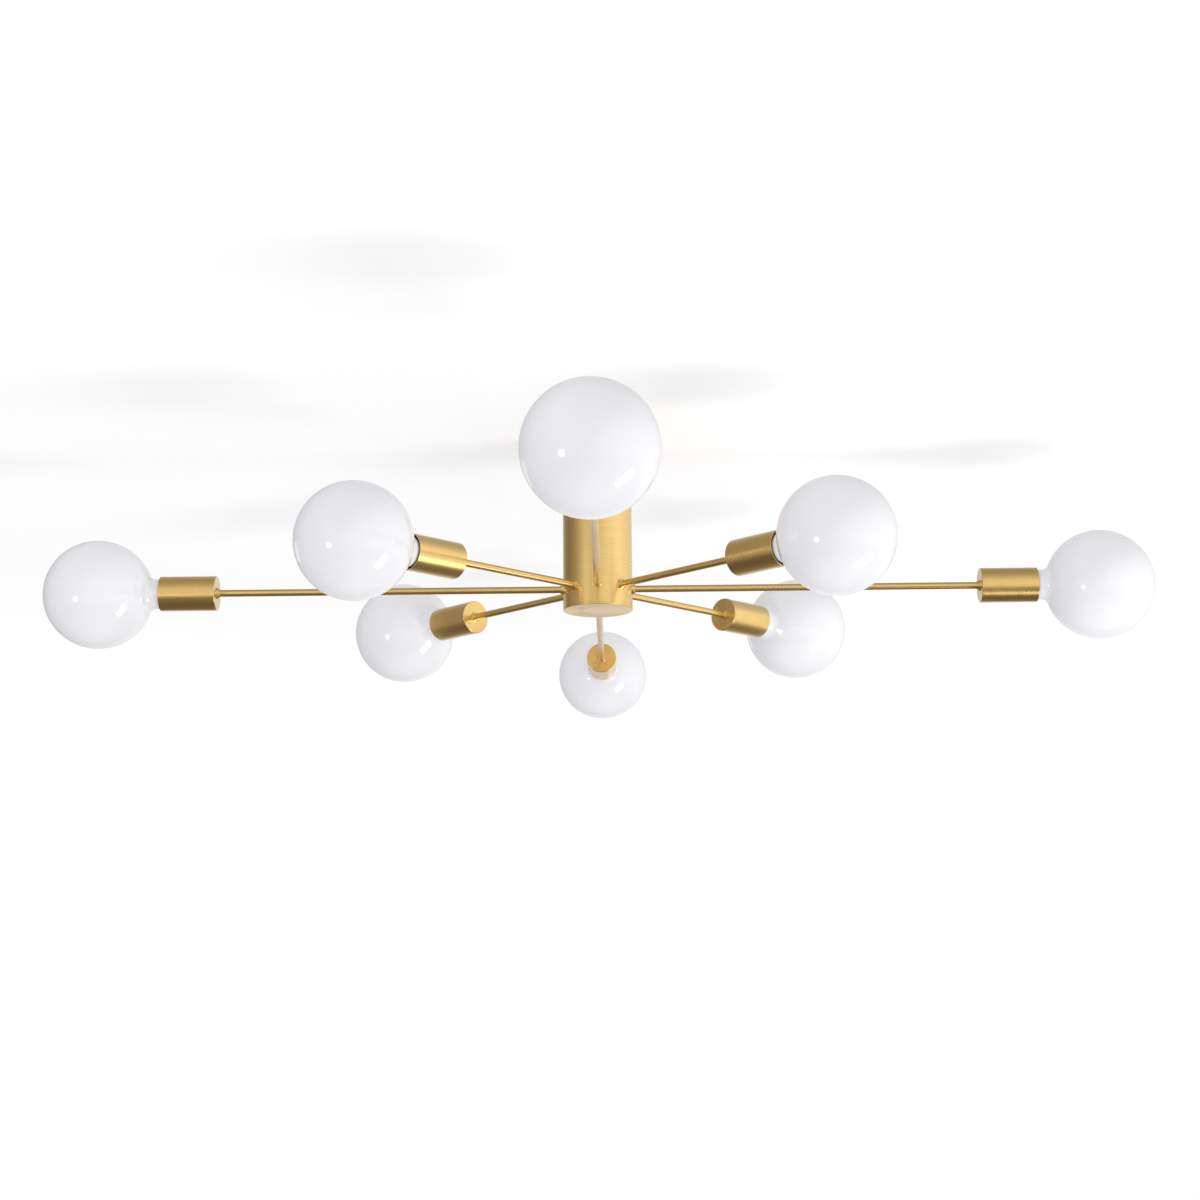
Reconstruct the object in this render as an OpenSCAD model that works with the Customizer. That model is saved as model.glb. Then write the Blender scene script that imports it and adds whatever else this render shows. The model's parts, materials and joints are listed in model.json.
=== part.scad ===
// Multi arm chandelier: a cylindrical body flush to the ceiling carries eight level arms, four long
// and four short in turn, and each arm ends in a cylindrical cup with an opal globe bulb.
// Origin: the ceiling plane on the body's axis, +Z up. Arm 1 points to -Y, and the arms count
// anticlockwise seen from above. Odd arms are long, even arms are short.

/* [Body] */
// Outer diameter of the body tube
body_d = 80; // [76:1:100]
// Distance from the ceiling to the underside of the bottom plate
body_h = 200; // [200:5:260]
// Distance from the ceiling down to the axes of the arms
arm_drop = 175; // [172:1:176]
// Wall of the body tube
body_wall = 1.5; // [1:0.1:1.6]

/* [Arms] */
// Outer diameter of the arm tubes
arm_d = 8; // [7.6:0.1:8.4]
// Bore of the arm tubes, which holds two wires
arm_bore = 6; // [5:0.1:6.4]
// Visible length of a long arm, from the body to its cup
long_arm = 400; // [340:5:460]
// Visible length of a short arm, from the body to its cup
short_arm = 175; // [150:5:230]

/* [Cups] */
// Outer diameter of a cup
cup_d = 40; // [40:0.5:44]
// Length of a cup, from its back disc to its mouth
cup_l = 65; // [65:0.5:68]

/* [Bulbs] */
// Diameter of the glass globe
globe_d = 125; // [95:1:125]
// Distance from the mouth of the cup to the centre of the globe
globe_out = 72.5; // [72:0.5:80]
// Outer radius of the glass neck at the mouth of the cup
neck_r = 17.2; // [16:0.1:17.4]
// Radius of the concave curve between the neck and the globe
flare_r = 10; // [6:0.5:12]

/* [Ceiling bracket] */
// Distance between the two ceiling slots, centre to centre
slot_spacing = 54; // [52:1:56]
// Length of a ceiling slot, end to end
slot_l = 10; // [8:0.5:11]
// Width of a ceiling slot
slot_w = 4.5; // [4:0.1:5]

/* [Hidden] */
$fn = 96;
ARMS = [1:8];
GROUPS = [
    "ceiling_bracket", "body_tube", "bottom_plate", "body_screws",
    "earth_screw", "earth_lug", "terminal_block", "terminal_screws",
    "live_wires", "neutral_wires", "earth_wire", "splice_sleeves",
    "root_collars", "root_nuts", "cup_collars", "cup_nuts",
    "lampholder_bodies", "lampholder_shells", "lampholder_contacts", "lampholder_screws"
];

BRASS = "#c8a25c";
STEEL = "#b9bcc0";
BLACK = "#26262a";
OPAL = "#f4f3f0";

body_r = body_d / 2;
body_bore_r = body_r - body_wall;
arm_r = arm_d / 2;
cup_r = cup_d / 2;
globe_r = globe_d / 2;
fit = 0.05;

// Bottom plate
plate_t = 2.5;
spigot_h = 5;
spigot_t = 1.5;
plate_edge_r = 0.6;

// Two-step collars, and the nuts behind them
flange_r = 6.5;
flange_t = 1.8;
ring_r = 4.85;
ring_t = 1.7;
collar_chamfer = 0.3;
nut_across_flats = 13;
nut_t = 4.5;
root_nut_x = body_bore_r - 5.5;
arm_inner_end = body_r - 9;

// Cup
cup_wall = 1;
cup_disc_t = 1.4;
cup_edge_r = 1.2;
lip_l = 1;
lip_wall = 0.8;

// Lampholder, measured along the cup's axis from the outside of its back disc
holder_r = cup_r - cup_wall - 0.2;
holder_back = 8;
holder_front = cup_l - 0.6;
holder_base_r = 15.5;
holder_chamber_r = 13;
chamber_from = 12;
floor_from = 22;
floor_to = 26;
shoulder_at = 24;
bore_r = 14.1;
bore_to = 55;
mouth_r = 17.9;
arm_end_in_cup = 14;
shell_r = 13.9;
shell_t = 0.6;
shell_to = 52;
terminal_y = 9.6;

// Bulb, measured along the same axis
tip_at = cup_l - 36;
cap_from = tip_at + 5.3;
cap_to = tip_at + 26.5;
cap_r = 13;
cap_rim_r = 13.4;
cap_t = 0.6;
glass_t = 1;
globe_u = cup_l + globe_out;
shoulder_to = cup_l + 2;
shoulder_steps = 8;

// Ceiling bracket
strap_w = 20;
strap_t = 1.5;
strap_half = body_bore_r - 1.5;
tab_l = 27;
bend_r = 2.5;
side_screw_z = -10;
earth_screw_z = -20;
m4_r = 2;

// Terminal block
pole_pitch = 10;
block_l = 30;
block_w = 18;
block_h = 14;
block_base_h = 5;
pole_w = 8.4;
channel_r = 1.6;
channel_z = -strap_t - 6.5;
clamp_y = 5;
recess_z = -4;

// Wires
wire_r = 0.9;
wire_y = 1.2;
bend = 8;
live_rise_r = 14;
ring_at_r = 3.2;
sleeve_l = 24;
sleeve_r = 6;
sleeve_bore_r = 4.7;
live_sleeve_z = -92;
neutral_sleeve_z = -150;
wire_in_sleeve = 8;
feed_way = 67.5;
feed_shift = pole_pitch / cos(feed_way);
first_bend = 2.5;
first_run = 2.9;
gather_bend = 5;
gather_shift = live_rise_r - ring_at_r;
gather_angle = 60;
feed_angle = 45;
terminal_u = 17.3;
// A bend in a wire is this much fuller than its straight stretches
bend_swell = 0.03;

function reach(k) = k % 2 == 1 ? long_arm : short_arm;
function mouth_end(k) = body_r + reach(k);

// Places its children in the frame of arm k: +X runs out along the arm
module at_arm(k) {
    translate([0, 0, -arm_drop])
        rotate([0, 0, -90 + 45 * (k - 1)])
            children();
}

// Places its children so that +Z runs out along arm k, from distance x
module along_arm(k, x = 0) {
    at_arm(k)
        translate([x, 0, 0])
            rotate([0, 90, 0])
                children();
}

// Places its children so that +Z runs out along the axis of cup k, from its back disc
module at_cup(k) {
    along_arm(k, mouth_end(k))
        children();
}

module tube(r, bore, h) {
    difference() {
        cylinder(h = h, r = r);
        translate([0, 0, -1])
            cylinder(h = h + 2, r = bore);
    }
}

module hex_nut(across_flats, t, bore) {
    difference() {
        cylinder(h = t, r = across_flats / 2 / cos(30), $fn = 6);
        translate([0, 0, -1])
            cylinder(h = t + 2, r = bore);
    }
}

// Half outline of a disc or cup whose lower rim is rounded
module round_rim(r, h, edge) {
    square([r - edge, h]);
    translate([0, edge])
        square([r, h - edge]);
    translate([r - edge, edge])
        circle(edge);
}

// A screw along +Z: pan head below z = 0, shank above
module pan_screw(shank_r, shank_l, head_r, head_h) {
    slot = head_r / 4;
    difference() {
        union() {
            rotate_extrude()
                translate([0, -head_h])
                    intersection() {
                        round_rim(head_r, head_h, head_h * 0.45);
                        square([head_r, head_h]);
                    }
            cylinder(h = shank_l, r = shank_r);
        }
        translate([-head_r, -slot / 2, -head_h - 1])
            cube([2 * head_r, slot, 1 + head_h * 0.45]);
    }
}

// ---- body ----

module ceiling_bracket() {
    color(STEEL)
        difference() {
            rotate([90, 0, 0])
                linear_extrude(height = strap_w, center = true)
                    bracket_outline();
            for (side = [-1, 1]) {
                translate([side * slot_spacing / 2, 0, 0])
                    ceiling_slot();
                translate([side * strap_half, 0, side_screw_z])
                    rotate([0, 90, 0])
                        cylinder(h = 3 * strap_t, r = m4_r, center = true);
                translate([side * pole_pitch / 2, 0, 0])
                    cylinder(h = 3 * strap_t, r = 1.3, center = true);
            }
            translate([strap_half, 0, earth_screw_z])
                rotate([0, 90, 0])
                    cylinder(h = 3 * strap_t, r = m4_r, center = true);
        }
}

module bracket_outline() {
    straight = strap_half - bend_r;
    translate([-straight, -strap_t])
        square([2 * straight, strap_t]);
    for (side = [0, 1])
        mirror([side, 0]) {
            translate([strap_half - strap_t, -tab_l])
                square([strap_t, tab_l - bend_r]);
            translate([straight, -bend_r])
                intersection() {
                    difference() {
                        circle(bend_r);
                        circle(bend_r - strap_t);
                    }
                    square([bend_r, bend_r]);
                }
        }
}

module ceiling_slot() {
    straight = slot_l - slot_w;
    translate([-straight / 2, -slot_w / 2, -2 * strap_t])
        cube([straight, slot_w, 3 * strap_t]);
    for (side = [-1, 1])
        translate([side * straight / 2, 0, -2 * strap_t])
            cylinder(h = 3 * strap_t, r = slot_w / 2);
}

module body_tube() {
    color(BRASS)
        difference() {
            translate([0, 0, -body_h + plate_t])
                tube(body_r, body_bore_r, body_h - plate_t);
            for (k = ARMS)
                along_arm(k)
                    cylinder(h = 2 * body_r, r = arm_r + fit);
            translate([0, 0, side_screw_z])
                rotate([0, 90, 0])
                    cylinder(h = 3 * body_r, r = m4_r + 0.2, center = true);
        }
}

module bottom_plate() {
    color(BRASS)
        translate([0, 0, -body_h]) {
            rotate_extrude()
                round_rim(body_r, plate_t, plate_edge_r);
            translate([0, 0, plate_t])
                tube(body_bore_r - fit, body_bore_r - fit - spigot_t, spigot_h);
        }
}

module body_screws() {
    color(BRASS)
        for (side = [0, 180])
            rotate([0, 0, side])
                translate([body_r, 0, side_screw_z])
                    rotate([0, -90, 0])
                        pan_screw(m4_r - fit, 6.5, 3.8, 2.6);
}

// ---- wiring in the body ----

module earth_screw() {
    color(STEEL)
        translate([strap_half - strap_t - 0.8, 0, earth_screw_z])
            rotate([0, 90, 0])
                pan_screw(m4_r - fit, 3.2, 3.6, 2.4);
}

module earth_lug() {
    face = strap_half - strap_t;
    color(STEEL)
        difference() {
            union() {
                translate([face - 0.8, 0, earth_screw_z])
                    rotate([0, 90, 0])
                        cylinder(h = 0.8, r = 4.2);
                translate([face - 1.6, -3.6, earth_screw_z])
                    rotate([90, 0, 0])
                        cylinder(h = 5.4, r = 1.5);
            }
            translate([face - 3, 0, earth_screw_z])
                rotate([0, 90, 0])
                    cylinder(h = 4, r = m4_r + 0.1);
            translate([face - 1.6, -4.4, earth_screw_z])
                rotate([90, 0, 0])
                    cylinder(h = 6, r = wire_r + fit);
            translate([face - 4.8, 0, earth_screw_z])
                rotate([0, 90, 0])
                    cylinder(h = 4, r = 3.8);
        }
}

module terminal_block() {
    color(OPAL)
        difference() {
            translate([0, 0, -strap_t]) {
                translate([-block_l / 2, -block_w / 2, -block_base_h])
                    cube([block_l, block_w, block_base_h]);
                for (pole = [-1:1])
                    translate([pole * pole_pitch - pole_w / 2, -block_w / 2, -block_h])
                        cube([pole_w, block_w, block_h]);
            }
            for (pole = [-1:1])
                translate([pole * pole_pitch, 0, channel_z]) {
                    rotate([90, 0, 0])
                        cylinder(h = block_w + 2, r = channel_r, center = true);
                    for (side = [-1, 1])
                        translate([0, side * clamp_y, -block_h])
                            cylinder(h = block_h, r = channel_r);
                }
            for (side = [-1, 1])
                translate([side * pole_pitch / 2, 0, recess_z])
                    block_fixing_hole();
        }
}

module block_fixing_hole() {
    cylinder(h = 5, r = 1.4);
    translate([0, 0, -block_h])
        cylinder(h = block_h, r = 2.5);
}

module terminal_screws() {
    color(STEEL) {
        for (pole = [-1:1])
            for (side = [-1, 1])
                translate([pole * pole_pitch, side * clamp_y, -strap_t - block_h + 1])
                    cylinder(h = channel_z + strap_t + block_h - wire_r - 1.1, r = channel_r - 0.1);
        for (side = [-1, 1])
            translate([side * pole_pitch / 2, 0, recess_z - 0.1])
                block_fixing_screw();
    }
}

module block_fixing_screw() {
    translate([0, 0, -1.9])
        cylinder(h = 1.9, r = 2.3);
    cylinder(h = 4, r = 1.2);
}

// A wire drawn step by step from the origin along +Z. Each step is [straight length, angle of the
// bend that follows, roll about the wire before that bend, radius of the bend]
module wire(steps, i = 0) {
    if (i < len(steps)) {
        straight = steps[i][0];
        angle = steps[i][1];
        roll = steps[i][2];
        r = steps[i][3];
        cylinder(h = straight, r = wire_r);
        if (angle > 0)
            translate([0, 0, straight])
                rotate([0, 0, roll]) {
                    translate([r, 0, 0])
                        rotate([90, 0, 180])
                            rotate_extrude(angle = angle)
                                translate([r, 0])
                                    circle(wire_r + bend_swell);
                    translate([r, 0, 0])
                        rotate([0, angle, 0])
                            translate([-r, 0, 0])
                                wire(steps, i + 1);
                }
    }
}

// Length of the slanted stretch of an S-bend that moves a wire sideways by shift
function s_slant(shift, angle, r) = (shift - 2 * r * (1 - cos(angle))) / sin(angle);
// Height that such an S-bend takes
function s_rise(shift, angle, r) = 2 * r * sin(angle) + s_slant(shift, angle, r) * cos(angle);

// From the terminal in holder k, through the arm and into the body, to the foot of the rise at r
function holder_to_body(k, r) = [
    [first_run, 90, 180, first_bend],
    [mouth_end(k) + terminal_u - first_bend - r - bend, 90, -90, bend]
];

// The start of a wire in holder k, on one side of the arm or mirrored to the other
module from_holder(k, mirrored = false) {
    at_arm(k)
        mirror([0, mirrored ? 1 : 0, 0])
            translate([mouth_end(k) + terminal_u, wire_y + first_bend + first_run, 0])
                rotate([90, 0, 0])
                    children();
}

// From the top of a sleeve to the terminal at the front of the block, on the side given
module feed_wire(sleeve_z, side) {
    top = sleeve_z + sleeve_l;
    way = -90 + side * (90 - feed_way);
    up = -top - 2 - s_rise(feed_shift, feed_angle, bend) + channel_z - bend;
    translate([0, 0, top - wire_in_sleeve])
        wire([
            [wire_in_sleeve + 2, feed_angle, way, bend],
            [s_slant(feed_shift, feed_angle, bend), feed_angle, 180, bend],
            [up, 90, -90 - way, bend],
            [feed_shift * sin(feed_way) - bend - clamp_y, 0, 0, 0]
        ]);
}

module live_wires() {
    rise = arm_drop + live_sleeve_z - bend - s_rise(gather_shift, gather_angle, gather_bend) - 2;
    color("#7a4a2b") {
        for (k = ARMS)
            from_holder(k)
                wire(concat(holder_to_body(k, live_rise_r), [
                    [rise, gather_angle, 180, gather_bend],
                    [s_slant(gather_shift, gather_angle, gather_bend), gather_angle, 180, gather_bend],
                    [2 + wire_in_sleeve, 0, 0, 0]
                ]));
        feed_wire(live_sleeve_z, -1);
    }
}

module neutral_wires() {
    color("#3b6ea8") {
        for (k = ARMS)
            from_holder(k, true)
                wire(concat(holder_to_body(k, ring_at_r), [
                    [arm_drop + neutral_sleeve_z - bend + wire_in_sleeve, 0, 0, 0]
                ]));
        feed_wire(neutral_sleeve_z, 1);
    }
}

module earth_wire() {
    down = channel_z - earth_screw_z - 8;
    color("#6d9a3c")
        translate([0, -clamp_y, channel_z])
            rotate([90, 0, 0])
                wire([
                    [5, 90, -90, 4],
                    [down, 90, 90, 4],
                    [strap_half - strap_t - 1.6 - 4 - 5, 90, -90, 5],
                    [4, 0, 0, 0]
                ]);
}

module splice_sleeves() {
    color(OPAL)
        for (z = [live_sleeve_z, neutral_sleeve_z])
            translate([0, 0, z])
                tube(sleeve_r, sleeve_bore_r, sleeve_l);
}

// ---- arms ----

module arm_tube(k) {
    color(BRASS)
        along_arm(k, arm_inner_end)
            tube(arm_r, arm_bore / 2, mouth_end(k) + arm_end_in_cup - arm_inner_end);
}

// Collar along +Z: a flange, then a narrower ring
module collar() {
    c = collar_chamfer;
    color(BRASS)
        rotate_extrude()
            polygon([
                [arm_r + fit, 0], [flange_r, 0],
                [flange_r, flange_t - c], [flange_r - c, flange_t],
                [ring_r, flange_t], [ring_r, flange_t + ring_t - c],
                [ring_r - c, flange_t + ring_t], [arm_r + fit, flange_t + ring_t]
            ]);
}

module root_collars() {
    deeper = 0.8;
    difference() {
        for (k = ARMS)
            along_arm(k, body_r - deeper) {
                color(BRASS)
                    tube(flange_r, arm_r + fit, deeper);
                translate([0, 0, deeper])
                    collar();
            }
        translate([0, 0, -body_h])
            cylinder(h = body_h, r = body_r);
    }
}

module root_nuts() {
    color(BRASS)
        for (k = ARMS)
            along_arm(k, root_nut_x)
                hex_nut(nut_across_flats, nut_t, arm_r + fit);
}

module cup_collars() {
    for (k = ARMS)
        at_cup(k)
            mirror([0, 0, 1])
                collar();
}

module cup_nuts() {
    color(BRASS)
        for (k = ARMS)
            at_cup(k)
                translate([0, 0, cup_disc_t])
                    hex_nut(nut_across_flats, nut_t, arm_r + fit);
}

// ---- cups and lampholders ----

module cup(k) {
    color(BRASS)
        at_cup(k)
            rotate_extrude()
                difference() {
                    round_rim(cup_r, cup_l, cup_edge_r);
                    translate([0, -1])
                        square([arm_r + fit, cup_l]);
                    translate([0, cup_disc_t])
                        square([cup_r - cup_wall, cup_l - cup_disc_t]);
                    translate([0, cup_l - lip_l])
                        square([cup_r - lip_wall, 2 * lip_l]);
                }
}

module lampholder_bodies() {
    color(BLACK)
        for (k = ARMS)
            at_cup(k)
                difference() {
                    rotate_extrude()
                        holder_outline();
                    for (side = [-1, 1])
                        translate([0, side * terminal_y, floor_from - 1])
                            cylinder(h = floor_to - floor_from + 2, r = 1.6);
                }
}

module holder_outline() {
    difference() {
        polygon([
            [arm_r + fit, holder_back], [holder_base_r, holder_back],
            [holder_base_r, shoulder_at - 2], [holder_r, shoulder_at],
            [holder_r, holder_front], [mouth_r, holder_front],
            [bore_r, bore_to], [bore_r, floor_to],
            [1.5 + fit, floor_to], [1.5 + fit, chamber_from],
            [arm_r + fit, chamber_from]
        ]);
        translate([0, chamber_from])
            square([holder_chamber_r, floor_from - chamber_from]);
    }
}

module lampholder_shells() {
    color(STEEL)
        for (k = ARMS)
            at_cup(k)
                translate([0, 0, floor_to])
                    difference() {
                        union() {
                            tube(shell_r, shell_r - shell_t, shell_to - floor_to);
                            tube(shell_r, 7.5, shell_t);
                        }
                        for (side = [-1, 1])
                            translate([0, side * terminal_y, -1])
                                cylinder(h = 3, r = 1.6);
                    }
}

module lampholder_contacts() {
    color(BRASS)
        for (k = ARMS)
            at_cup(k)
                rotate_extrude()
                    polygon([
                        [0, floor_from - 1], [1.5, floor_from - 1],
                        [1.5, tip_at - 1.1], [4, tip_at - 1.1],
                        [4, tip_at - 0.6], [3.2, tip_at - 0.3],
                        [0, tip_at - 0.3]
                    ]);
}

module lampholder_screws() {
    color(STEEL)
        for (k = ARMS)
            at_cup(k)
                for (side = [-1, 1])
                    translate([0, side * terminal_y, floor_from])
                        pan_screw(1.5, floor_to - floor_from + 1, 2.7, 2.2);
}

// ---- bulbs ----

// Half outline of the glass, or of its hollow when it is drawn inset by the wall from its own foot
module glass_outline(inset, r_foot) {
    r_globe = globe_r - inset;
    r_neck = neck_r - inset;
    r_flare = flare_r + inset;
    flare_x = r_neck + r_flare;
    flare_y = globe_u - sqrt(pow(r_globe + r_flare, 2) - pow(flare_x, 2));
    meet = r_globe / (r_globe + r_flare);
    meet_x = flare_x * meet;
    meet_y = globe_u + (flare_y - globe_u) * meet;
    intersection() {
        translate([0, globe_u])
            circle(r_globe);
        square([globe_d, globe_u + globe_d]);
    }
    difference() {
        polygon(concat(
            [[0, cap_to]],
            [for (i = [0:shoulder_steps]) shoulder(i / shoulder_steps, r_foot, r_neck)],
            [[r_neck, flare_y], [flare_x, flare_y], [meet_x, meet_y], [0, meet_y]]
        ));
        translate([flare_x, flare_y])
            circle(r_flare);
    }
}

// A point on the glass between the cap and the neck, where the radius eases from one to the other
function shoulder(t, r_foot, r_neck) = [
    r_foot + (r_neck - r_foot) * (1 - cos(180 * t)) / 2,
    cap_to + (shoulder_to - cap_to) * t
];

module bulb_glass(k) {
    foot_r = cap_r - cap_t - fit;
    foot_l = 8;
    color(OPAL)
        at_cup(k)
            rotate_extrude()
                difference() {
                    union() {
                        glass_outline(0, cap_rim_r);
                        translate([0, cap_to - foot_l])
                            square([foot_r, foot_l + 1]);
                    }
                    glass_outline(glass_t, foot_r - glass_t);
                    translate([0, cap_to - foot_l - 1])
                        square([foot_r - glass_t, foot_l + 2]);
                }
}

module bulb_cap(k) {
    color(STEEL)
        at_cup(k)
            rotate_extrude()
                polygon([
                    [cap_r - 1.5, cap_from], [cap_r, cap_from + 1.1],
                    [cap_r, cap_to - 1.9], [cap_rim_r, cap_to - 1.5],
                    [cap_rim_r, cap_to], [cap_r - cap_t, cap_to],
                    [cap_r - cap_t, cap_from + 1.8], [cap_r - 1.5, cap_from + 1.8]
                ]);
}

// The black glass insulator and the round centre contact on it
module bulb_tip(k) {
    contact_t = 1.4;
    contact_r = 4.8;
    seam = 0.02;
    at_cup(k)
        translate([0, 0, tip_at]) {
            color(STEEL)
                rotate_extrude()
                    polygon([
                        [0, 0], [contact_r - 1.6, 0], [contact_r, 0.9],
                        [contact_r, contact_t], [0, contact_t]
                    ]);
            color(BLACK)
                rotate_extrude()
                    polygon([
                        [0, contact_t + seam], [contact_r + 0.1, contact_t + seam],
                        [cap_r - 1.6, cap_from - tip_at], [cap_r - 1.6, cap_from - tip_at + 1.7],
                        [0, cap_from - tip_at + 1.7]
                    ]);
        }
}

ceiling_bracket();
body_tube();
bottom_plate();
body_screws();
earth_screw();
earth_lug();
terminal_block();
terminal_screws();
live_wires();
neutral_wires();
earth_wire();
splice_sleeves();
root_collars();
root_nuts();
cup_collars();
cup_nuts();
lampholder_bodies();
lampholder_shells();
lampholder_contacts();
lampholder_screws();
for (k = ARMS) {
    arm_tube(k);
    cup(k);
    bulb_glass(k);
    bulb_cap(k);
    bulb_tip(k);
}
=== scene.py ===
"""The looks of a multi arm chandelier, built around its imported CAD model. Lengths are in metres."""
import json
import math

import bpy
from mathutils import Matrix, Vector


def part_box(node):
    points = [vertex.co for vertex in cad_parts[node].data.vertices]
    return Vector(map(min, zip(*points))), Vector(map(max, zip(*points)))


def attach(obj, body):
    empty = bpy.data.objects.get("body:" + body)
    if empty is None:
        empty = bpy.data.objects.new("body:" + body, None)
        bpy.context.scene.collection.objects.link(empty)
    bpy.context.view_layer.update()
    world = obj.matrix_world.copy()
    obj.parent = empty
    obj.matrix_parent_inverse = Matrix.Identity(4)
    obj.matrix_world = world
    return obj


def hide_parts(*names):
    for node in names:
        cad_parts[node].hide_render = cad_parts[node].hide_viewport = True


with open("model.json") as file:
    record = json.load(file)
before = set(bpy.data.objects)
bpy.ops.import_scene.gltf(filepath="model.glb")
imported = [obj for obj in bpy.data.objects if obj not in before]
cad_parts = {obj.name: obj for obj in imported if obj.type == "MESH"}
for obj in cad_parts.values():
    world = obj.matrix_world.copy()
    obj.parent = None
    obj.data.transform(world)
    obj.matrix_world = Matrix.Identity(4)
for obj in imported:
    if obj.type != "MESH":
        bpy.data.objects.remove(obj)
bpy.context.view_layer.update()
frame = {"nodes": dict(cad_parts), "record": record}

MM = 0.001
ARMS = range(1, 9)
ROOT = "chandelier"
UP = Vector((0, 0, 1))


# ---- places, all read from the frame ----

def arm_axis(k):
    """The level direction in which arm k points."""
    angle = math.radians(-90 + 45 * (k - 1))
    return Vector((math.cos(angle), math.sin(angle), 0))


def span(node, k):
    """How far out along arm k a node starts and ends, counting only what lies near that arm."""
    axis = arm_axis(k)
    side = axis.cross(UP)
    near = [v.co for v in frame["nodes"][node].data.vertices if abs(v.co.dot(side)) < 0.07]
    along = [co.dot(axis) for co in near if co.dot(axis) > 0]
    return min(along), max(along)


def radius_of(node):
    """The radius of a node that is round about a level axis."""
    low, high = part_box(node)
    return (high.z - low.z) / 2


arm_z = sum(corner.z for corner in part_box("arm_tube_1")) / 2
arm_r = radius_of("arm_tube_1")
body_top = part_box("body_tube")[1].z
body_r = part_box("body_tube")[1].x
tube_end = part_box("body_tube")[0].z
body_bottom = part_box("bottom_plate")[0].z
cup_r = radius_of("cup_1")
globe_r = radius_of("bulb_glass_1")
bore_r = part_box("ceiling_bracket")[1].x + 1.5 * MM


def out_along(k):
    """A frame on the body's axis whose +Z runs out along arm k, with +X level."""
    axis = arm_axis(k)
    side = axis.cross(UP)
    turn = Matrix((side, UP, axis)).transposed()
    if turn.determinant() < 0:
        turn = Matrix((-side, UP, axis)).transposed()
    return Matrix.Translation((0, 0, arm_z)) @ turn.to_4x4()


# ---- outlines ----

def arc(centre, radius, start, end, steps):
    """Points on a circle in an outline's plane, with angles in degrees."""
    angles = [math.radians(start + (end - start) * i / steps) for i in range(steps + 1)]
    return [(centre[0] + radius * math.cos(a), centre[1] + radius * math.sin(a)) for a in angles]


def rounded(corners, steps=5):
    """An outline through corners of (r, z) or (r, z, fillet), with each fillet drawn as an arc."""
    points = []
    count = len(corners)
    for i, corner in enumerate(corners):
        at = Vector(corner[:2])
        fillet = corner[2] if len(corner) > 2 else 0
        if not fillet:
            points.append(tuple(at))
            continue
        back = (Vector(corners[i - 1][:2]) - at).normalized()
        ahead = (Vector(corners[(i + 1) % count][:2]) - at).normalized()
        half = back.angle(ahead) / 2
        reach = fillet / math.tan(half)
        centre = at + (back + ahead).normalized() * (fillet / math.sin(half))
        first, last = at + back * reach - centre, at + ahead * reach - centre
        for step in range(steps + 1):
            share = step / steps
            spoke = first.lerp(last, share).normalized() * fillet
            points.append(tuple(centre + spoke))
    return points


# ---- mesh making ----

class Solid:
    """Collects closed surfaces in the row frame. Each vertex keeps its place on the lathe for the materials.

    "turned" is the unit direction from the axis, and the length along the outline. "around" is the way round.
    """

    def __init__(self):
        self.verts, self.faces, self.turned, self.around = [], [], [], []

    def lathe(self, outline, place=Matrix(), segments=96, shape=None):
        """Turns a closed outline, anticlockwise in (r, z), about place's Z axis. shape may move points."""
        turn = place.to_3x3()
        rows, length, last = [], 0.0, outline[0]
        for r, z in outline:
            length += math.hypot(r - last[0], z - last[1])
            last = (r, z)
            row = []
            for i in range(segments if r > 1e-7 else 1):
                angle = 2 * math.pi * i / segments
                c, s = math.cos(angle), math.sin(angle)
                r_here, z_here = shape(angle, r, z) if shape else (r, z)
                row.append(len(self.verts))
                self.verts.append(place @ Vector((r_here * c, r_here * s, z_here)))
                self.turned.append((c, s, length))
                self.around.append(turn @ Vector((-s, c, 0)))
            rows.append(row)
        for low, high in zip(rows, rows[1:] + rows[:1]):
            self.join(low, high, segments)
        return self

    def join(self, low, high, segments):
        """Faces between two rings, either of which may be a single point on the axis."""
        if len(low) == 1 and len(high) == 1:
            return
        for i in range(segments):
            j = (i + 1) % segments
            if len(low) == 1:
                self.faces.append((low[0], high[j], high[i]))
            elif len(high) == 1:
                self.faces.append((low[i], low[j], high[0]))
            else:
                self.faces.append((low[i], low[j], high[j], high[i]))

    def piece(self, name, body, material, slot, replaces=(), sharp=38):
        """Makes the object, lets it ride on its body, and returns it."""
        mesh = bpy.data.meshes.new(name)
        mesh.from_pydata(self.verts, [], self.faces)
        for key, values in (("turned", self.turned), ("around", self.around)):
            layer = mesh.attributes.new(key, "FLOAT_VECTOR", "POINT")
            layer.data.foreach_set("vector", [x for v in values for x in v])
        mesh.shade_smooth()
        mesh.set_sharp_from_angle(angle=math.radians(sharp))
        mesh.materials.append(material)
        piece = bpy.data.objects.new(name, mesh)
        bpy.context.scene.collection.objects.link(piece)
        normals = piece.modifiers.new("even_shading", "WEIGHTED_NORMAL")
        normals.keep_sharp = True
        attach(piece, body)
        if replaces:
            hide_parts(*replaces)
        return piece


# ---- materials ----

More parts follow.
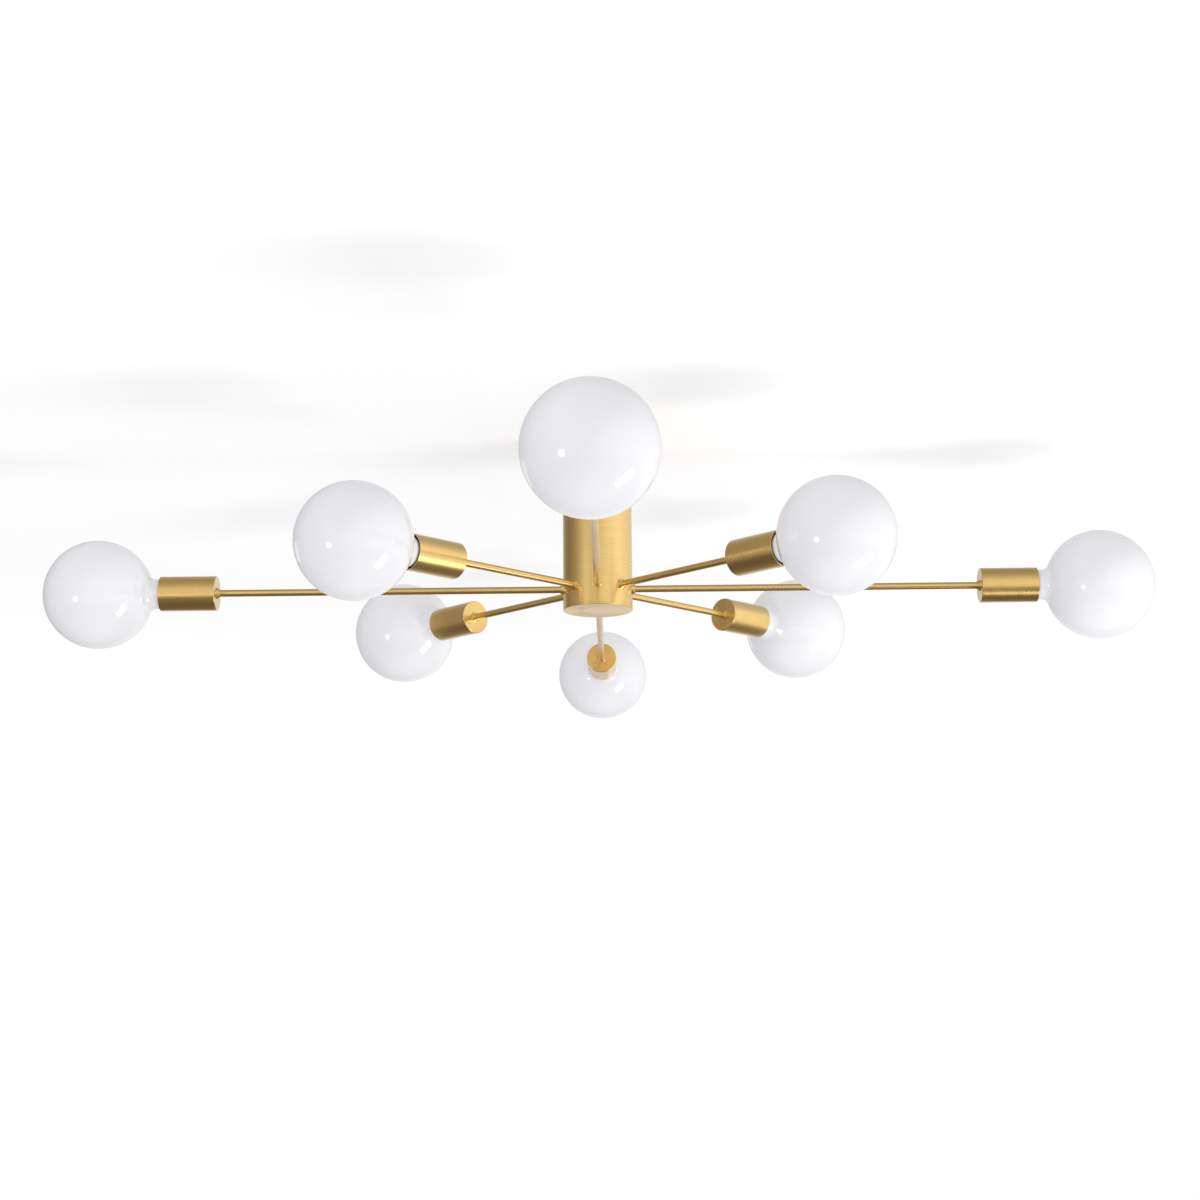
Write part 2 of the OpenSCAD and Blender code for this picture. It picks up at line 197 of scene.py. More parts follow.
class Nodes:
    """Short calls that add nodes to a node tree and join them."""

    def __init__(self, tree):
        self.tree = tree

    def add(self, kind, settings=None, **values):
        """A node of a kind. values are its inputs, where _ stands for a space: numbers or other sockets."""
        node = self.tree.nodes.new("ShaderNode" + kind)
        for key, value in (settings or {}).items():
            setattr(node, key, value)
        for key, value in values.items():
            self.put(node, key.replace("_", " "), value)
        return node

    def put(self, node, key, value):
        """Sets or links an input, which is given by its name or by its number."""
        socket = node.inputs[key]
        if isinstance(value, bpy.types.NodeSocket):
            self.tree.links.new(value, socket)
        else:
            socket.default_value = value

    def combine(self, kind, operation, first, second=None):
        """A Math or VectorMath node on one or two inputs."""
        node = self.add(kind, {"operation": operation})
        self.put(node, 0, first)
        if second is not None:
            self.put(node, 1, second)
        return node

    def mix(self, factor, first, second, mode="MIX"):
        """Mixes or multiplies two colours. A Mix node's colours are its inputs 6 and 7 and its output 2."""
        node = self.add("Mix", {"data_type": "RGBA", "blend_type": mode})
        for key, value in ((0, factor), (6, first), (7, second)):
            self.put(node, key, value)
        return node.outputs[2]

    def gradient(self, value, stops):
        """A colour for a value from -1 to 1, from stops of (value, colour) in rising order."""
        share = self.add("MapRange", Value=value, From_Min=-1.0).outputs["Result"]
        ramp = self.add("ValToRGB", Fac=share)
        elements = ramp.color_ramp.elements
        while len(elements) < len(stops):
            elements.new(0.5)
        for element, (position, colour) in zip(elements, stops):
            element.position = (position + 1) / 2
            element.color = (*colour, 1)
        return ramp.outputs[0]


class Shader(Nodes):
    """A material with a Principled shader."""

    def __init__(self, name, **values):
        self.material = bpy.data.materials.new(name)
        self.material.use_nodes = True
        super().__init__(self.material.node_tree)
        self.tree.nodes.clear()
        self.surface = self.add("BsdfPrincipled", **values)
        self.output = self.add("OutputMaterial", Surface=self.surface.outputs[0])

    def set(self, key, value):
        self.put(self.surface, key, value)

    def attribute(self, name):
        return self.add("Attribute", {"attribute_name": name}).outputs["Vector"]

    def point(self):
        """The place on the object, in metres in the row frame at rest."""
        return self.add("TexCoord").outputs["Object"]

    def scaled(self, vector, scale):
        return self.combine("VectorMath", "MULTIPLY", vector, scale).outputs[0]

    def noise(self, vector, scale=1.0, detail=3.0, roughness=0.55):
        node = self.add("TexNoise", Vector=vector, Scale=scale, Detail=detail, Roughness=roughness)
        return node.outputs["Fac"]

    def ramp(self, value, start, end, low, high):
        """low where value is start or less, high where it is end or more, and even between them."""
        node = self.add("MapRange", {"clamp": True}, Value=value, From_Min=start, From_Max=end)
        self.put(node, "To Min", low)
        self.put(node, "To Max", high)
        return node.outputs["Result"]

    def total(self, first, second):
        return self.combine("Math", "ADD", first, second).outputs[0]

    def times(self, first, second):
        return self.combine("Math", "MULTIPLY", first, second).outputs[0]

    def bump(self, height, strength, distance):
        self.set("Normal", self.add("Bump", Strength=strength, Distance=distance, Height=height).outputs[0])

    def edges(self):
        """1 along the outer edges, 0 elsewhere."""
        return self.ramp(self.add("NewGeometry").outputs["Pointiness"], 0.53, 0.62, 0.0, 1.0)


def brushed_metal(name, light, dark, worn, rough, lines=1500.0, bump=0.16, anisotropy=0.6, lacquer=0.8):
    """Lacquered metal on a lathed piece, with fine turned lines round it, smudges and bright rubbed edges."""
    shader = Shader(
        name, Metallic=1.0, Anisotropic=anisotropy, Anisotropic_Rotation=0.25,
        Coat_Weight=lacquer, Coat_Roughness=0.2, Coat_IOR=1.5,
    )
    turned = shader.attribute("turned")
    fine = shader.noise(shader.scaled(turned, (0.22, 0.22, lines)), detail=3.0, roughness=0.6)
    coarse = shader.noise(shader.scaled(turned, (0.2, 0.2, lines / 3)), detail=1.0)
    grain = shader.total(shader.times(fine, 0.9), shader.times(coarse, 0.1))
    smudge = shader.noise(shader.point(), scale=26.0, detail=5.0, roughness=0.6)
    tone = shader.mix(shader.ramp(grain, 0.36, 0.64, 0.0, 1.0), dark, light)
    tarnish = shader.mix(shader.ramp(smudge, 0.4, 0.75, 0.0, 0.6), tone, dark)
    shader.set("Base Color", shader.mix(shader.edges(), tarnish, worn))
    grain_rough = shader.ramp(grain, 0.35, 0.65, rough + 0.04, rough - 0.03)
    smudge_rough = shader.ramp(smudge, 0.35, 0.7, -0.02, 0.04)
    shader.set("Roughness", shader.total(grain_rough, smudge_rough))
    to_world = {"vector_type": "VECTOR", "convert_from": "OBJECT", "convert_to": "WORLD"}
    way_round = shader.add("VectorTransform", to_world, Vector=shader.attribute("around"))
    shader.set("Tangent", way_round.outputs[0])
    shader.bump(fine, bump, 0.01 * MM)
    return shader.material


def rolled_metal(name, light, dark, rough, scale=(90.0, 1400.0, 1400.0)):
    """Sheet or turned metal on a CAD node: rolling lines along X, a crystalline plating and scuffs."""
    shader = Shader(name, Metallic=1.0, Specular_IOR_Level=0.5)
    point = shader.point()
    lines = shader.noise(shader.scaled(point, scale), detail=3.0)
    plating = shader.noise(point, scale=420.0, detail=4.0, roughness=0.7)
    scuffs = shader.noise(point, scale=60.0, detail=5.0, roughness=0.6)
    tone = shader.mix(shader.ramp(plating, 0.35, 0.65, 0.0, 1.0), dark, light)
    shader.set("Base Color", shader.mix(shader.ramp(scuffs, 0.5, 0.7, 0.0, 0.5), tone, dark))
    shader.set("Roughness", shader.ramp(lines, 0.3, 0.7, rough - 0.07, rough + 0.1))
    shader.bump(shader.total(lines, plating), 0.3, 0.05 * MM)
    return shader.material


def plastic(name, light, dark, rough):
    """Moulded plastic: a fine moulded grain, slight clouding in its colour, and edges a little lighter."""
    shader = Shader(name, IOR=1.5)
    point = shader.point()
    cloud = shader.noise(point, scale=55.0, detail=4.0)
    skin = shader.noise(point, scale=900.0, detail=3.0)
    tone = shader.mix(shader.ramp(cloud, 0.35, 0.65, 0.0, 1.0), dark, light)
    lighter = shader.times(shader.edges(), 0.3)
    shader.set("Base Color", shader.mix(lighter, tone, (0.6, 0.6, 0.6, 1)))
    shader.set("Roughness", shader.ramp(skin, 0.3, 0.7, rough - 0.06, rough + 0.08))
    shader.bump(skin, 0.15, 0.04 * MM)
    return shader.material


def opal_glass():
    """White glass, blown and fire-polished: clear gloss over a milky body, very slightly wavy."""
    shader = Shader("opal_glass", IOR=1.5, Coat_Weight=0.5, Coat_Roughness=0.06, Coat_IOR=1.5)
    point = shader.point()
    milk = shader.noise(point, scale=9.0, detail=3.0)
    wave = shader.noise(point, scale=22.0, detail=1.5, roughness=0.4)
    speck = shader.noise(point, scale=1400.0, detail=2.0)
    cloudy, clear = (0.80, 0.80, 0.83, 1), (0.85, 0.85, 0.875, 1)
    shader.set("Base Color", shader.mix(shader.ramp(milk, 0.3, 0.7, 0.0, 1.0), cloudy, clear))
    shader.set("Roughness", shader.ramp(speck, 0.3, 0.75, 0.09, 0.14))
    shader.bump(wave, 0.04, 0.6 * MM)
    return shader.material


brass = brushed_metal(
    "satin_brass", (0.87, 0.61, 0.22, 1), (0.80, 0.545, 0.18, 1), (0.93, 0.73, 0.38, 1), rough=0.29,
)
bright_brass = brushed_metal(
    "bright_brass", (0.89, 0.66, 0.27, 1), (0.76, 0.53, 0.19, 1), (0.95, 0.80, 0.50, 1), rough=0.18,
    lines=2600.0, anisotropy=0.3,
)
nickel = brushed_metal(
    "nickel_plate", (0.72, 0.70, 0.65, 1), (0.52, 0.50, 0.46, 1), (0.85, 0.84, 0.8, 1), rough=0.28,
    lines=2200.0, anisotropy=0.3, lacquer=0.0,
)
zinc_steel = rolled_metal("zinc_steel", (0.66, 0.68, 0.70, 1), (0.46, 0.48, 0.51, 1), rough=0.36)
tinned_copper = rolled_metal("tinned_copper", (0.70, 0.67, 0.64, 1), (0.5, 0.46, 0.42, 1), rough=0.42)
small_brass = rolled_metal(
    "bright_brass_small_parts", (0.88, 0.65, 0.27, 1), (0.74, 0.52, 0.2, 1), rough=0.24,
    scale=(900.0, 900.0, 900.0),
)
phenolic = plastic("black_phenolic", (0.018, 0.018, 0.02, 1), (0.01, 0.01, 0.012, 1), rough=0.32)
vitrite = plastic("black_vitrite", (0.014, 0.013, 0.02, 1), (0.008, 0.008, 0.012, 1), rough=0.12)
nylon = plastic("white_nylon", (0.82, 0.82, 0.78, 1), (0.72, 0.72, 0.68, 1), rough=0.45)
brown = plastic("brown_insulation", (0.22, 0.10, 0.045, 1), (0.16, 0.07, 0.03, 1), rough=0.42)
blue = plastic("blue_insulation", (0.05, 0.18, 0.48, 1), (0.03, 0.12, 0.36, 1), rough=0.42)
green = plastic("green_insulation", (0.30, 0.48, 0.04, 1), (0.16, 0.36, 0.04, 1), rough=0.42)
opal = opal_glass()
BY_SLOT = {
    "satin_brass": brass, "bright_brass": small_brass, "nickel_plate": nickel, "zinc_steel": zinc_steel,
    "tinned_copper": tinned_copper, "black_phenolic": phenolic, "black_vitrite": vitrite,
    "white_nylon": nylon, "brown_insulation": brown, "blue_insulation": blue, "green_insulation": green,
    "opal_glass": opal,
}


# ---- the body ----

FIT = 0.05 * MM
SPIGOT_T = 1.5 * MM


def make_body_shell():
    tube = Solid().lathe(rounded([
        (bore_r, tube_end, 0.15 * MM), (body_r, tube_end, 0.25 * MM),
        (body_r, body_top, 0.3 * MM), (bore_r, body_top, 0.3 * MM),
    ]), segments=192)
    tube.piece("body_shell", ROOT, brass, "satin_brass", ["body_tube"])


def make_end_disc():
    """The disc that closes the body, with the spigot that fits into the tube."""
    spigot_r = bore_r - FIT
    spigot_bore = bore_r - SPIGOT_T
    spigot_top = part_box("bottom_plate")[1].z
    plate = Solid().lathe(rounded([
        (0, body_bottom), (body_r, body_bottom, 0.6 * MM), (body_r, tube_end, 0.25 * MM),
        (spigot_r, tube_end), (spigot_r, spigot_top, 0.3 * MM),
        (spigot_bore, spigot_top, 0.3 * MM), (spigot_bore, tube_end, 0.5 * MM), (0, tube_end),
    ]), segments=192)
    plate.piece("body_end_disc", ROOT, brass, "satin_brass", ["bottom_plate"])


# ---- arms, collars and nuts ----

FLANGE_R = 6.5 * MM
FLANGE_T = 1.8 * MM
RING_R = 4.85 * MM
RING_T = 1.7 * MM
ARM_WALL = 1.0 * MM


def make_arm(k):
    near, far = span(f"arm_tube_{k}", k)
    bore = arm_r - ARM_WALL
    tube = Solid().lathe(rounded([
        (bore, near, 0.2 * MM), (arm_r, near, 0.35 * MM), (arm_r, far, 0.35 * MM), (bore, far, 0.2 * MM),
    ], steps=3), out_along(k), segments=64)
    tube.piece(f"arm_{k}", ROOT, brass, "satin_brass", [f"arm_tube_{k}"])


def collar_outline(foot):
    """Half outline of a collar: a flange that stands on its foot, then a narrower bright ring."""
    top = foot + FLANGE_T
    return rounded([
        (arm_r + FIT, foot), (FLANGE_R, foot), (FLANGE_R, top, 0.45 * MM), (RING_R, top, 0.12 * MM),
        (RING_R, top + RING_T, 0.5 * MM), (arm_r + FIT, top + RING_T, 0.15 * MM),
    ], steps=6)


def make_collars():
    def saddle(angle, r, z):
        """Fits the foot of a root collar to the round body."""
        on_wall = math.sqrt(body_r ** 2 - (r * math.cos(angle)) ** 2)
        return (r, on_wall) if z < body_r + 0.1 * MM else (r, z)

    roots, ends = Solid(), Solid()
    for k in ARMS:
        roots.lathe(collar_outline(body_r), out_along(k), segments=64, shape=saddle)
        back = span(f"cup_{k}", k)[0]
        flip = out_along(k) @ Matrix.Translation((0, 0, back)) @ Matrix.Rotation(math.pi, 4, "X")
        ends.lathe(collar_outline(0), flip, segments=64)
    roots.piece("arm_root_collars", ROOT, bright_brass, "bright_brass", ["root_collars"])
    ends.piece("cup_end_collars", ROOT, bright_brass, "bright_brass", ["cup_collars"])


NUT_FLATS = 13.0 * MM
NUT_CHAMFER = 1.6  # how much wider a nut grows for each unit of depth below its face


def add_nut(solid, place, start, end):
    """A hexagon nut with its corners chamfered at both faces."""
    flat = NUT_FLATS / 2
    corner = flat / math.cos(math.pi / 6)

    def hexagon(angle, r, z):
        if r < arm_r + 0.5 * MM:
            return r, z
        turn = (angle + math.pi / 6) % (math.pi / 3) - math.pi / 6
        depth = min(z - start, end - z)
        return min(flat / math.cos(turn), flat + depth * NUT_CHAMFER), z

    rows = 6
    inset = (corner - flat) / NUT_CHAMFER
    heights = [start + inset * i / rows for i in range(rows + 1)]
    heights += [end - inset + inset * i / rows for i in range(rows + 1)]
    bore = arm_r + FIT
    outline = [(bore, start + 0.4 * MM), (bore + 0.3 * MM, start)]
    outline += [(corner, z) for z in heights]
    outline += [(bore + 0.3 * MM, end), (bore, end - 0.4 * MM)]
    solid.lathe(outline, place, segments=96, shape=hexagon)


def make_nuts():
    for node, name in (("root_nuts", "arm_root_nuts"), ("cup_nuts", "cup_fixing_nuts")):
        solid = Solid()
        for k in ARMS:
            start, end = span(node, k)
            add_nut(solid, out_along(k), start, end)
        solid.piece(name, ROOT, bright_brass, "bright_brass", [node])


# ---- cups ----

CUP_WALL = 1.0 * MM
CUP_DISC_T = 1.4 * MM
LIP_WALL = 0.8 * MM
LIP_L = 1.0 * MM


def make_cup(k):
    back, mouth = span(f"cup_{k}", k)
    hole, bore, lip = arm_r + FIT, cup_r - CUP_WALL, cup_r - LIP_WALL
    cup = Solid().lathe(rounded([
        (hole, back + CUP_DISC_T), (hole, back, 0.15 * MM), (cup_r, back, 0.8 * MM),
        (cup_r, mouth, 0.25 * MM), (lip, mouth, 0.2 * MM), (lip, mouth - LIP_L),
        (bore, mouth - LIP_L - 0.2 * MM), (bore, back + CUP_DISC_T, 0.6 * MM),
    ]), out_along(k), segments=160)
    cup.piece(f"cup_shell_{k}", ROOT, brass, "satin_brass", [f"cup_{k}"])


# ---- lampholders ----

PITCH = 25.4 * MM / 7
THREAD_DEPTH = 0.85 * MM


THREAD_FADE = 2.0 * MM


def thread(mid, start, end, lean_start, lean_end):
    """A right-handed round thread about a mid radius, for the points between start and end.

    It fades out at both ends: to its crest where it leans by 1, and to its root where it leans by -1. Its
    phase is the same on every threaded piece, so a bulb's cap meshes with its lampholder at any turn.
    """
    def shape(angle, r, z):
        if not start - 1e-6 < z < end + 1e-6:
            return r, z
        ease = max(0.0, min(1.0, (z - start) / THREAD_FADE, (end - z) / THREAD_FADE))
        ease = ease * ease * (3 - 2 * ease)
        lean = lean_start if z < (start + end) / 2 else lean_end
        wave = math.cos(2 * math.pi * z / PITCH - angle)
        return r + THREAD_DEPTH / 2 * (wave * ease + lean * (1 - ease)), z
    return shape


def threaded_tube(outer, inner, start, end, rows):
    """Outline of a tube with enough rows to carry a thread."""
    rise = [(outer, start + (end - start) * i / rows) for i in range(rows + 1)]
    fall = [(inner, start + (end - start) * i / rows) for i in range(rows, -1, -1)]
    return rise + fall


SHELL_MID_R = 13.15 * MM
HOLDER_BACK_R = 15.5 * MM
HOLDER_MOUTH_R = 17.9 * MM
HOLDER_BORE_R = 14.1 * MM
CHAMBER_R = 13.0 * MM
CONTACT_HOLE_R = 1.6 * MM


def add_screw_shell(solid, place, back):
    start, end = back + 26 * MM, back + 52 * MM
    outline = threaded_tube(SHELL_MID_R + 0.2 * MM, SHELL_MID_R - 0.25 * MM, start, end, 84)
    solid.lathe(outline, place, segments=72, shape=thread(SHELL_MID_R, start, end, 0, 1))


def add_insulator(solid, place, back, mouth):
    """The moulded body: a chamber for the wires at the back, a floor, and a bore that opens at the mouth."""
    front = mouth - 0.6 * MM
    outer = cup_r - 1.2 * MM
    chamber_from, floor_from, floor_to = back + 12 * MM, back + 22 * MM, back + 26 * MM
    solid.lathe(rounded([
        (arm_r + FIT, back + 8 * MM), (HOLDER_BACK_R, back + 8 * MM, 0.8 * MM),
        (HOLDER_BACK_R, back + 22 * MM, 1.0 * MM), (outer, back + 24 * MM, 1.0 * MM),
        (outer, front, 0.35 * MM), (HOLDER_MOUTH_R, front, 0.3 * MM),
        (HOLDER_BORE_R, back + 55 * MM, 1.5 * MM), (HOLDER_BORE_R, floor_to, 0.5 * MM),
        (CONTACT_HOLE_R, floor_to), (CONTACT_HOLE_R, floor_from), (CHAMBER_R, floor_from, 0.5 * MM),
        (CHAMBER_R, chamber_from, 0.5 * MM), (arm_r + FIT, chamber_from),
    ]), place, segments=128)


def make_lampholders():
    shells, bodies = Solid(), Solid()
    for k in ARMS:
        back, mouth = span(f"cup_{k}", k)
        add_screw_shell(shells, out_along(k), back)
        add_insulator(bodies, out_along(k), back, mouth)
    shells.piece("lampholder_screw_shells", ROOT, nickel, "nickel_plate", ["lampholder_shells"])
    bodies.piece("lampholder_insulators", ROOT, phenolic, "black_phenolic", ["lampholder_bodies"])


# ---- bulbs ----

NECK_R = 17.2 * MM
FLARE_R = 10.0 * MM
GLASS_T = 1.0 * MM
CAP_R = 13.0 * MM
CAP_T = 0.3 * MM
RIM_R = 13.4 * MM
FOOT_R = CAP_R - 1.35 * MM
INSULATOR_R = 11.4 * MM


def glass_side(foot_r, cap_end, shoulder_end, centre, inset):
    """One side of the glass, from the cap out to the pole."""
    globe, neck, flare = globe_r - inset, NECK_R - inset, FLARE_R + inset
    across = neck + flare
    height = centre - math.sqrt((globe + flare) ** 2 - across ** 2)
    steps = 12
    points = []
    for i in range(steps + 1):
        share = i / steps
        ease = (1 - math.cos(math.pi * share)) / 2
        points.append((foot_r + (neck - foot_r) * ease, cap_end + (shoulder_end - cap_end) * share))
    meet = math.degrees(math.atan2(centre - height, across))
    points += arc((across, height), flare, 180, 180 - meet, 12)
    points += arc((0, centre), globe, -meet, 90, 72)[1:]
    points[-1] = (0, centre + globe)
    return points


def make_globe(k, place):
    """The blown glass: a globe with a flared neck, and a narrower foot inside the cap."""
    mouth = span(f"cup_{k}", k)[1]
    cap_end = span(f"bulb_cap_{k}", k)[1]
    foot_start, pole = span(f"bulb_glass_{k}", k)
    centre = pole - globe_r
    shoulder_end = mouth + 2 * MM
    outside = glass_side(RIM_R - 0.1 * MM, cap_end, shoulder_end, centre, 0)
    inside = glass_side(FOOT_R - GLASS_T, cap_end, shoulder_end, centre, GLASS_T)
    outline = [(FOOT_R, foot_start), (FOOT_R, cap_end)] + outside
    outline += inside[::-1] + [(FOOT_R - GLASS_T, foot_start)]
    glass = Solid().lathe(outline, place, segments=144)
    glass.piece(f"globe_{k}", f"bulb_{k}", opal, "opal_glass", [f"bulb_glass_{k}"], sharp=60)


def make_screw_cap(k, place):
    """The threaded metal cap, which widens to a plain rim round the glass."""
    start, end = span(f"bulb_cap_{k}", k)
    mid = CAP_R - THREAD_DEPTH / 2
    first, last = start + 1.2 * MM, end - 3.0 * MM
    rows = 60
    inner_r, inner_rim = CAP_R - CAP_T, RIM_R - CAP_T
    shell = [(11.5 * MM, start), (12.2 * MM, start + 0.35 * MM)]
    shell += [(mid, first + (last - first) * i / rows) for i in range(rows + 1)]
    shell += [(CAP_R, end - 2.4 * MM), (RIM_R, end - 1.8 * MM), (RIM_R, end)]
    shell += [(inner_rim, end), (inner_rim, end - 1.7 * MM), (inner_r, end - 2.3 * MM)]
    shell += [(mid - CAP_T, first + (last - first) * i / rows) for i in range(rows, -1, -1)]
    shell += [(12.0 * MM, start + 0.6 * MM), (11.5 * MM, start + 0.3 * MM)]
    cap = Solid().lathe(shell, place, segments=72, shape=thread(mid, first, last, -1, 0))
    cap.piece(f"screw_cap_{k}", f"bulb_{k}", nickel, "nickel_plate", [f"bulb_cap_{k}"])


def make_cap_tip(k, place):
    """The black insulator under the cap, and the soldered contact on it."""
    travel = f"bulb_{k}_travel"
    cap_start = span(f"bulb_cap_{k}", k)[0]
    tip = span(f"bulb_tip_{k}", k)[0]
    base, top = tip + 1.42 * MM, cap_start + 1.6 * MM
    insulator = Solid().lathe(rounded([
        (0, base), (4.9 * MM, base, 0.3 * MM), (INSULATOR_R, cap_start, 0.8 * MM),
        (INSULATOR_R, top, 0.3 * MM), (0, top),
    ]), place, segments=72)
    insulator.piece(f"cap_insulator_{k}", travel, vitrite, "black_vitrite", [f"bulb_tip_{k}"])
    bead = arc((2.4 * MM, tip + 1.4 * MM), 1.4 * MM, -90, 0, 6)[:-1]
    outline = [(0, tip)] + bead + [(4.6 * MM, tip + 1.0 * MM), (4.8 * MM, base), (0, base)]
    contact = Solid().lathe(outline, place, segments=48)
    contact.piece(f"cap_contact_{k}", travel, tinned_copper, "tinned_copper")


def make_bulb(k):
    place = out_along(k)
    make_globe(k, place)
    make_screw_cap(k, place)
    make_cap_tip(k, place)


# ---- CAD nodes whose shape stays ----

def finish_cad_nodes():
    """Gives each CAD node that is still shown its material, and eases the edges of all but the wires and the
    ceiling bracket.
    """
    slots = {part["node"]: part["material_slot"] for part in frame["record"]["subparts"]}
    for name, node in frame["nodes"].items():
        if node.hide_render:
            continue
        node.data.materials.clear()
        node.data.materials.append(BY_SLOT[slots[name]])
        if "wire" in name or name == "ceiling_bracket":
            continue
        weld = node.modifiers.new("weld", "WELD")
        weld.merge_threshold = 0.002 * MM
        bevel = node.modifiers.new("eased_edges", "BEVEL")
        bevel.width = 0.18 * MM
        bevel.segments = 2
        bevel.limit_method = "ANGLE"
        bevel.angle_limit = math.radians(40)


# ---- stage, light and camera ----

def aim(thing, place, target):
    thing.location = place
    thing.rotation_euler = (Vector(target) - Vector(place)).to_track_quat("-Z", "Y").to_euler()


def area_light(name, place, target, size, power, shape="RECTANGLE"):
    data = bpy.data.lights.new(name, "AREA")
    data.shape = shape
    data.size, data.size_y = size
    data.energy = power
    light = bpy.data.objects.new(name, data)
    bpy.context.scene.collection.objects.link(light)
    aim(light, place, target)
    return light


STAGE_R = 30.0
FLOOR_Z = -3.6


def stage_disc(name, z, material, facing_down):
    """A wide round sheet that only the eye sees: reflections and shading come from the room around it."""
    segments = 96
    angles = [2 * math.pi * i / segments for i in range(segments)]
    rim = [(STAGE_R * math.cos(a), STAGE_R * math.sin(a), z) for a in angles]
    face = tuple(range(segments))
    mesh = bpy.data.meshes.new(name)
    mesh.from_pydata(rim, [], [face[::-1] if facing_down else face])
    mesh.materials.append(material)
    disc = bpy.data.objects.new(name, mesh)
    bpy.context.scene.collection.objects.link(disc)
    disc.visible_diffuse = disc.visible_glossy = disc.visible_transmission = False
    disc.visible_shadow = False


def pale_paint(name, grey):
    """Matt paint that glows, so that it stays even and nearly white. It is clear from behind.

    A ceiling has to be clear from behind for a look at the object from above.
    """
    shader = Shader(name, Roughness=0.9, Specular_IOR_Level=0.0)
    speckle = shader.noise(shader.point(), scale=180.0, detail=3.0)
    shader.set("Base Color", shader.mix(speckle, (grey,) * 3 + (1,), (0.98 * grey,) * 3 + (1,)))
    shader.set("Emission Color", (1, 1, 1, 1))
    sides = shader.add("MixShader", Fac=shader.add("NewGeometry").outputs["Backfacing"])
    shader.put(sides, 1, shader.surface.outputs[0])
    shader.put(sides, 2, shader.add("BsdfTransparent").outputs[0])
    shader.put(shader.output, "Surface", sides.outputs[0])
    return shader


def make_stage():
    ceiling = pale_paint("ceiling_paint", 0.6)
    spread = ceiling.combine("VectorMath", "LENGTH", ceiling.point()).outputs["Value"]
    ceiling.set("Emission Strength", ceiling.ramp(spread, 1.0, 3.0, 0.385, 0.55))
    stage_disc("ceiling", body_top + 0.2 * MM, ceiling.material, facing_down=True)
    floor = pale_paint("floor_paint", 0.5)
    floor.set("Emission Strength", 0.93)
    stage_disc("floor", FLOOR_Z, floor.material, facing_down=False)


def reflected_room(nodes, direction, across_and_up):
    """What gloss shows: dim on the left, where brass turns brown, bright on the right, dark below."""
    to_dim_side = nodes.combine("VectorMath", "DOT_PRODUCT", direction, (-0.93, 0.36, 0)).outputs["Value"]
    sideways = nodes.gradient(to_dim_side, [
        (-1.0, (1.25, 1.25, 1.27)), (-0.55, (0.94, 0.93, 0.92)), (0.0, (0.78, 0.765, 0.75)),
        (0.35, (0.88, 0.86, 0.84)), (0.75, (0.46, 0.425, 0.40)), (1.0, (0.21, 0.185, 0.17)),
    ])
    height = nodes.gradient(across_and_up["Z"], [
        (-1.0, (0.16, 0.14, 0.12)), (-0.6, (0.26, 0.23, 0.20)), (-0.25, (0.98, 0.97, 0.95)),
        (0.3, (1.0, 1.0, 1.0)), (0.65, (0.72, 0.71, 0.70)), (1.0, (0.42, 0.41, 0.41)),
    ])
    return nodes.mix(1.0, sideways, height, "MULTIPLY")


def soft_room(nodes, across_and_up):
    """What lights matt surfaces: a little dimmer and bluer on the left, and brighter overhead."""
    across = nodes.gradient(across_and_up["X"], [
        (-1.0, (0.82, 0.82, 0.855)), (0.0, (0.915, 0.915, 0.93)), (1.0, (0.94, 0.94, 0.945)),
    ])
    overhead = nodes.gradient(across_and_up["Z"], [
        (-1.0, (0.98, 0.98, 0.98)), (0.0, (0.99, 0.99, 0.99)), (1.0, (1.16, 1.16, 1.16)),
    ])
    return nodes.mix(1.0, across, overhead, "MULTIPLY")


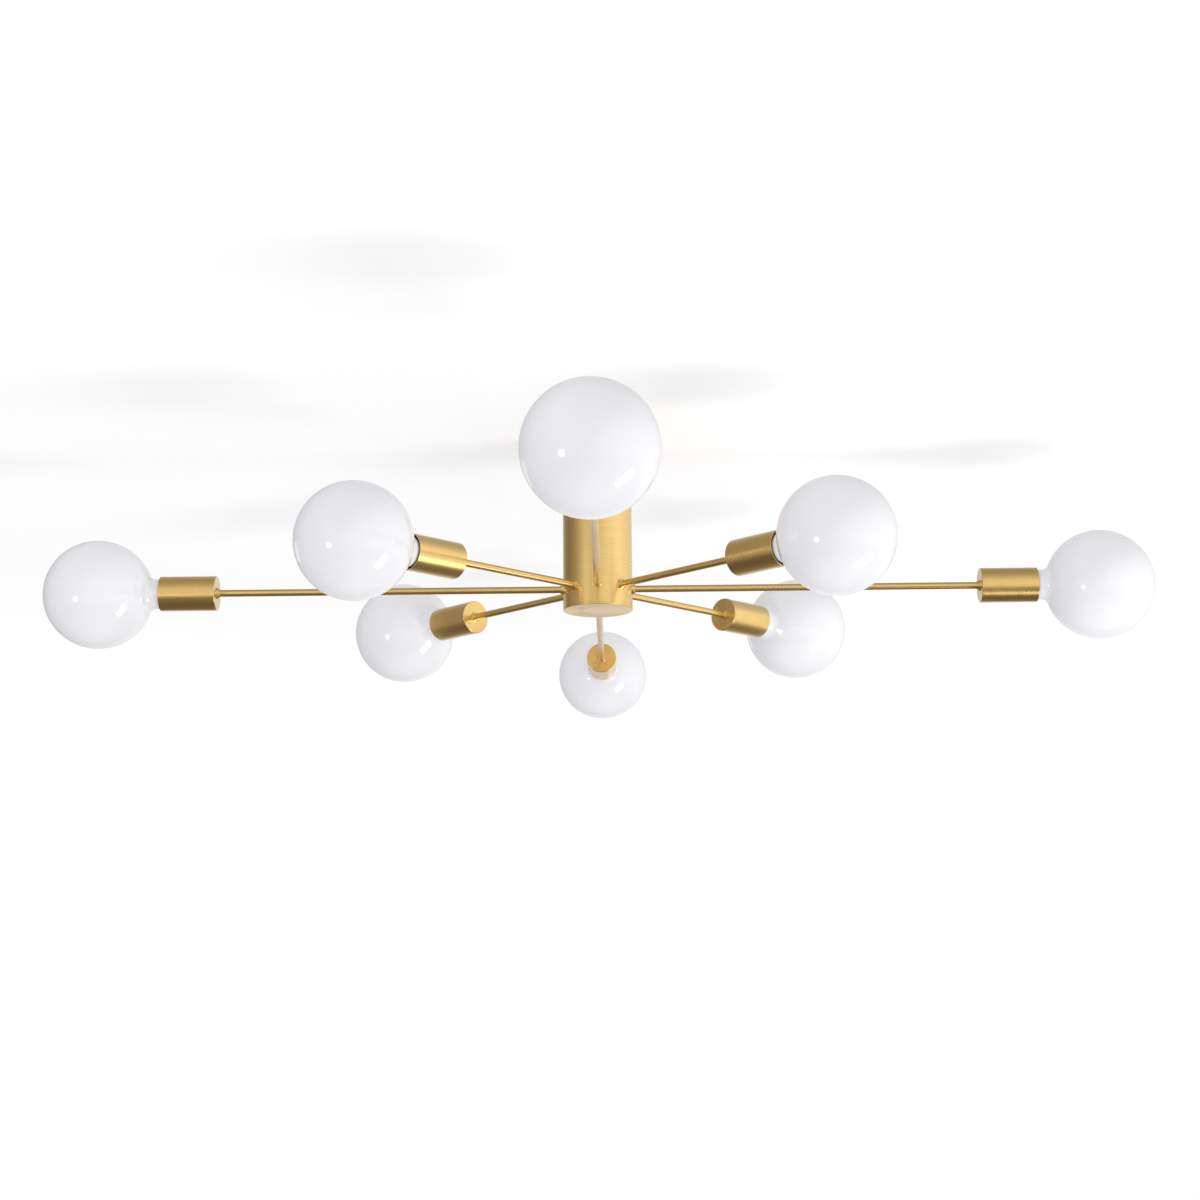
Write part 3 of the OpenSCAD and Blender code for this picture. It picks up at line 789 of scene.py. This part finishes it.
def make_world():
    """A pale room, white to the eye."""
    world = bpy.data.worlds.new("room")
    bpy.context.scene.world = world
    world.use_nodes = True
    nodes = Nodes(world.node_tree)
    direction = nodes.add("TexCoord").outputs["Generated"]
    across_and_up = nodes.add("SeparateXYZ", Vector=direction).outputs
    ray = nodes.add("LightPath").outputs
    gloss = reflected_room(nodes, direction, across_and_up)
    around = nodes.mix(ray["Is Glossy Ray"], soft_room(nodes, across_and_up), gloss)
    seen = nodes.mix(ray["Is Camera Ray"], around, (1, 1, 1, 1))
    nodes.put(nodes.tree.nodes["Background"], "Color", seen)


SOFTBOX_WATTS = 17
SOFTBOX_ROLL = 78
LAMP_WATTS = 12


def make_lights():
    """The two highlights on each globe: a softbox low on the right, and a small lamp low on the left."""
    hub = (0, 0, arm_z)
    softbox = area_light("softbox", (1.65, -0.55, arm_z - 1.5), hub, (1.05, 0.52), SOFTBOX_WATTS)
    softbox.rotation_euler.rotate_axis("Z", math.radians(SOFTBOX_ROLL))
    area_light("small_lamp", (-2.6, -2.9, arm_z - 1.15), hub, (0.62, 0.62), LAMP_WATTS, shape="DISK")


CAMERA_LENS = 59.63
CAMERA_PLACE = (0.0225, -2.2416)
CAMERA_DROP = 0.489
CAMERA_TURNS = (-12.0, -0.491, -0.619)  # pitch, roll and yaw in degrees


def make_camera():
    """The photograph's view, from below the arms and a little to the right of the middle."""
    data = bpy.data.cameras.new("camera")
    data.lens = CAMERA_LENS
    data.sensor_width = 36
    data.clip_end = 200
    camera = bpy.data.objects.new("camera", data)
    bpy.context.scene.collection.objects.link(camera)
    camera.location = (*CAMERA_PLACE, arm_z - CAMERA_DROP)
    pitch, roll, yaw = (math.radians(turn) for turn in CAMERA_TURNS)
    level = Matrix(((1, 0, 0), (0, 0, -1), (0, 1, 0))) @ Matrix.Rotation(yaw, 3, "Z")
    fixture_to_view = Matrix.Rotation(pitch, 3, "X") @ Matrix.Rotation(roll, 3, "Z") @ level
    view = fixture_to_view.transposed() @ Matrix.Diagonal((1, -1, -1))
    camera.rotation_euler = view.to_euler()
    bpy.context.scene.camera = camera


make_body_shell()
make_end_disc()
make_collars()
make_nuts()
make_lampholders()
for k in ARMS:
    make_arm(k)
    make_cup(k)
    make_bulb(k)
finish_cad_nodes()
make_stage()
make_world()
make_lights()
make_camera()
bpy.context.scene.view_settings.view_transform = "Standard"
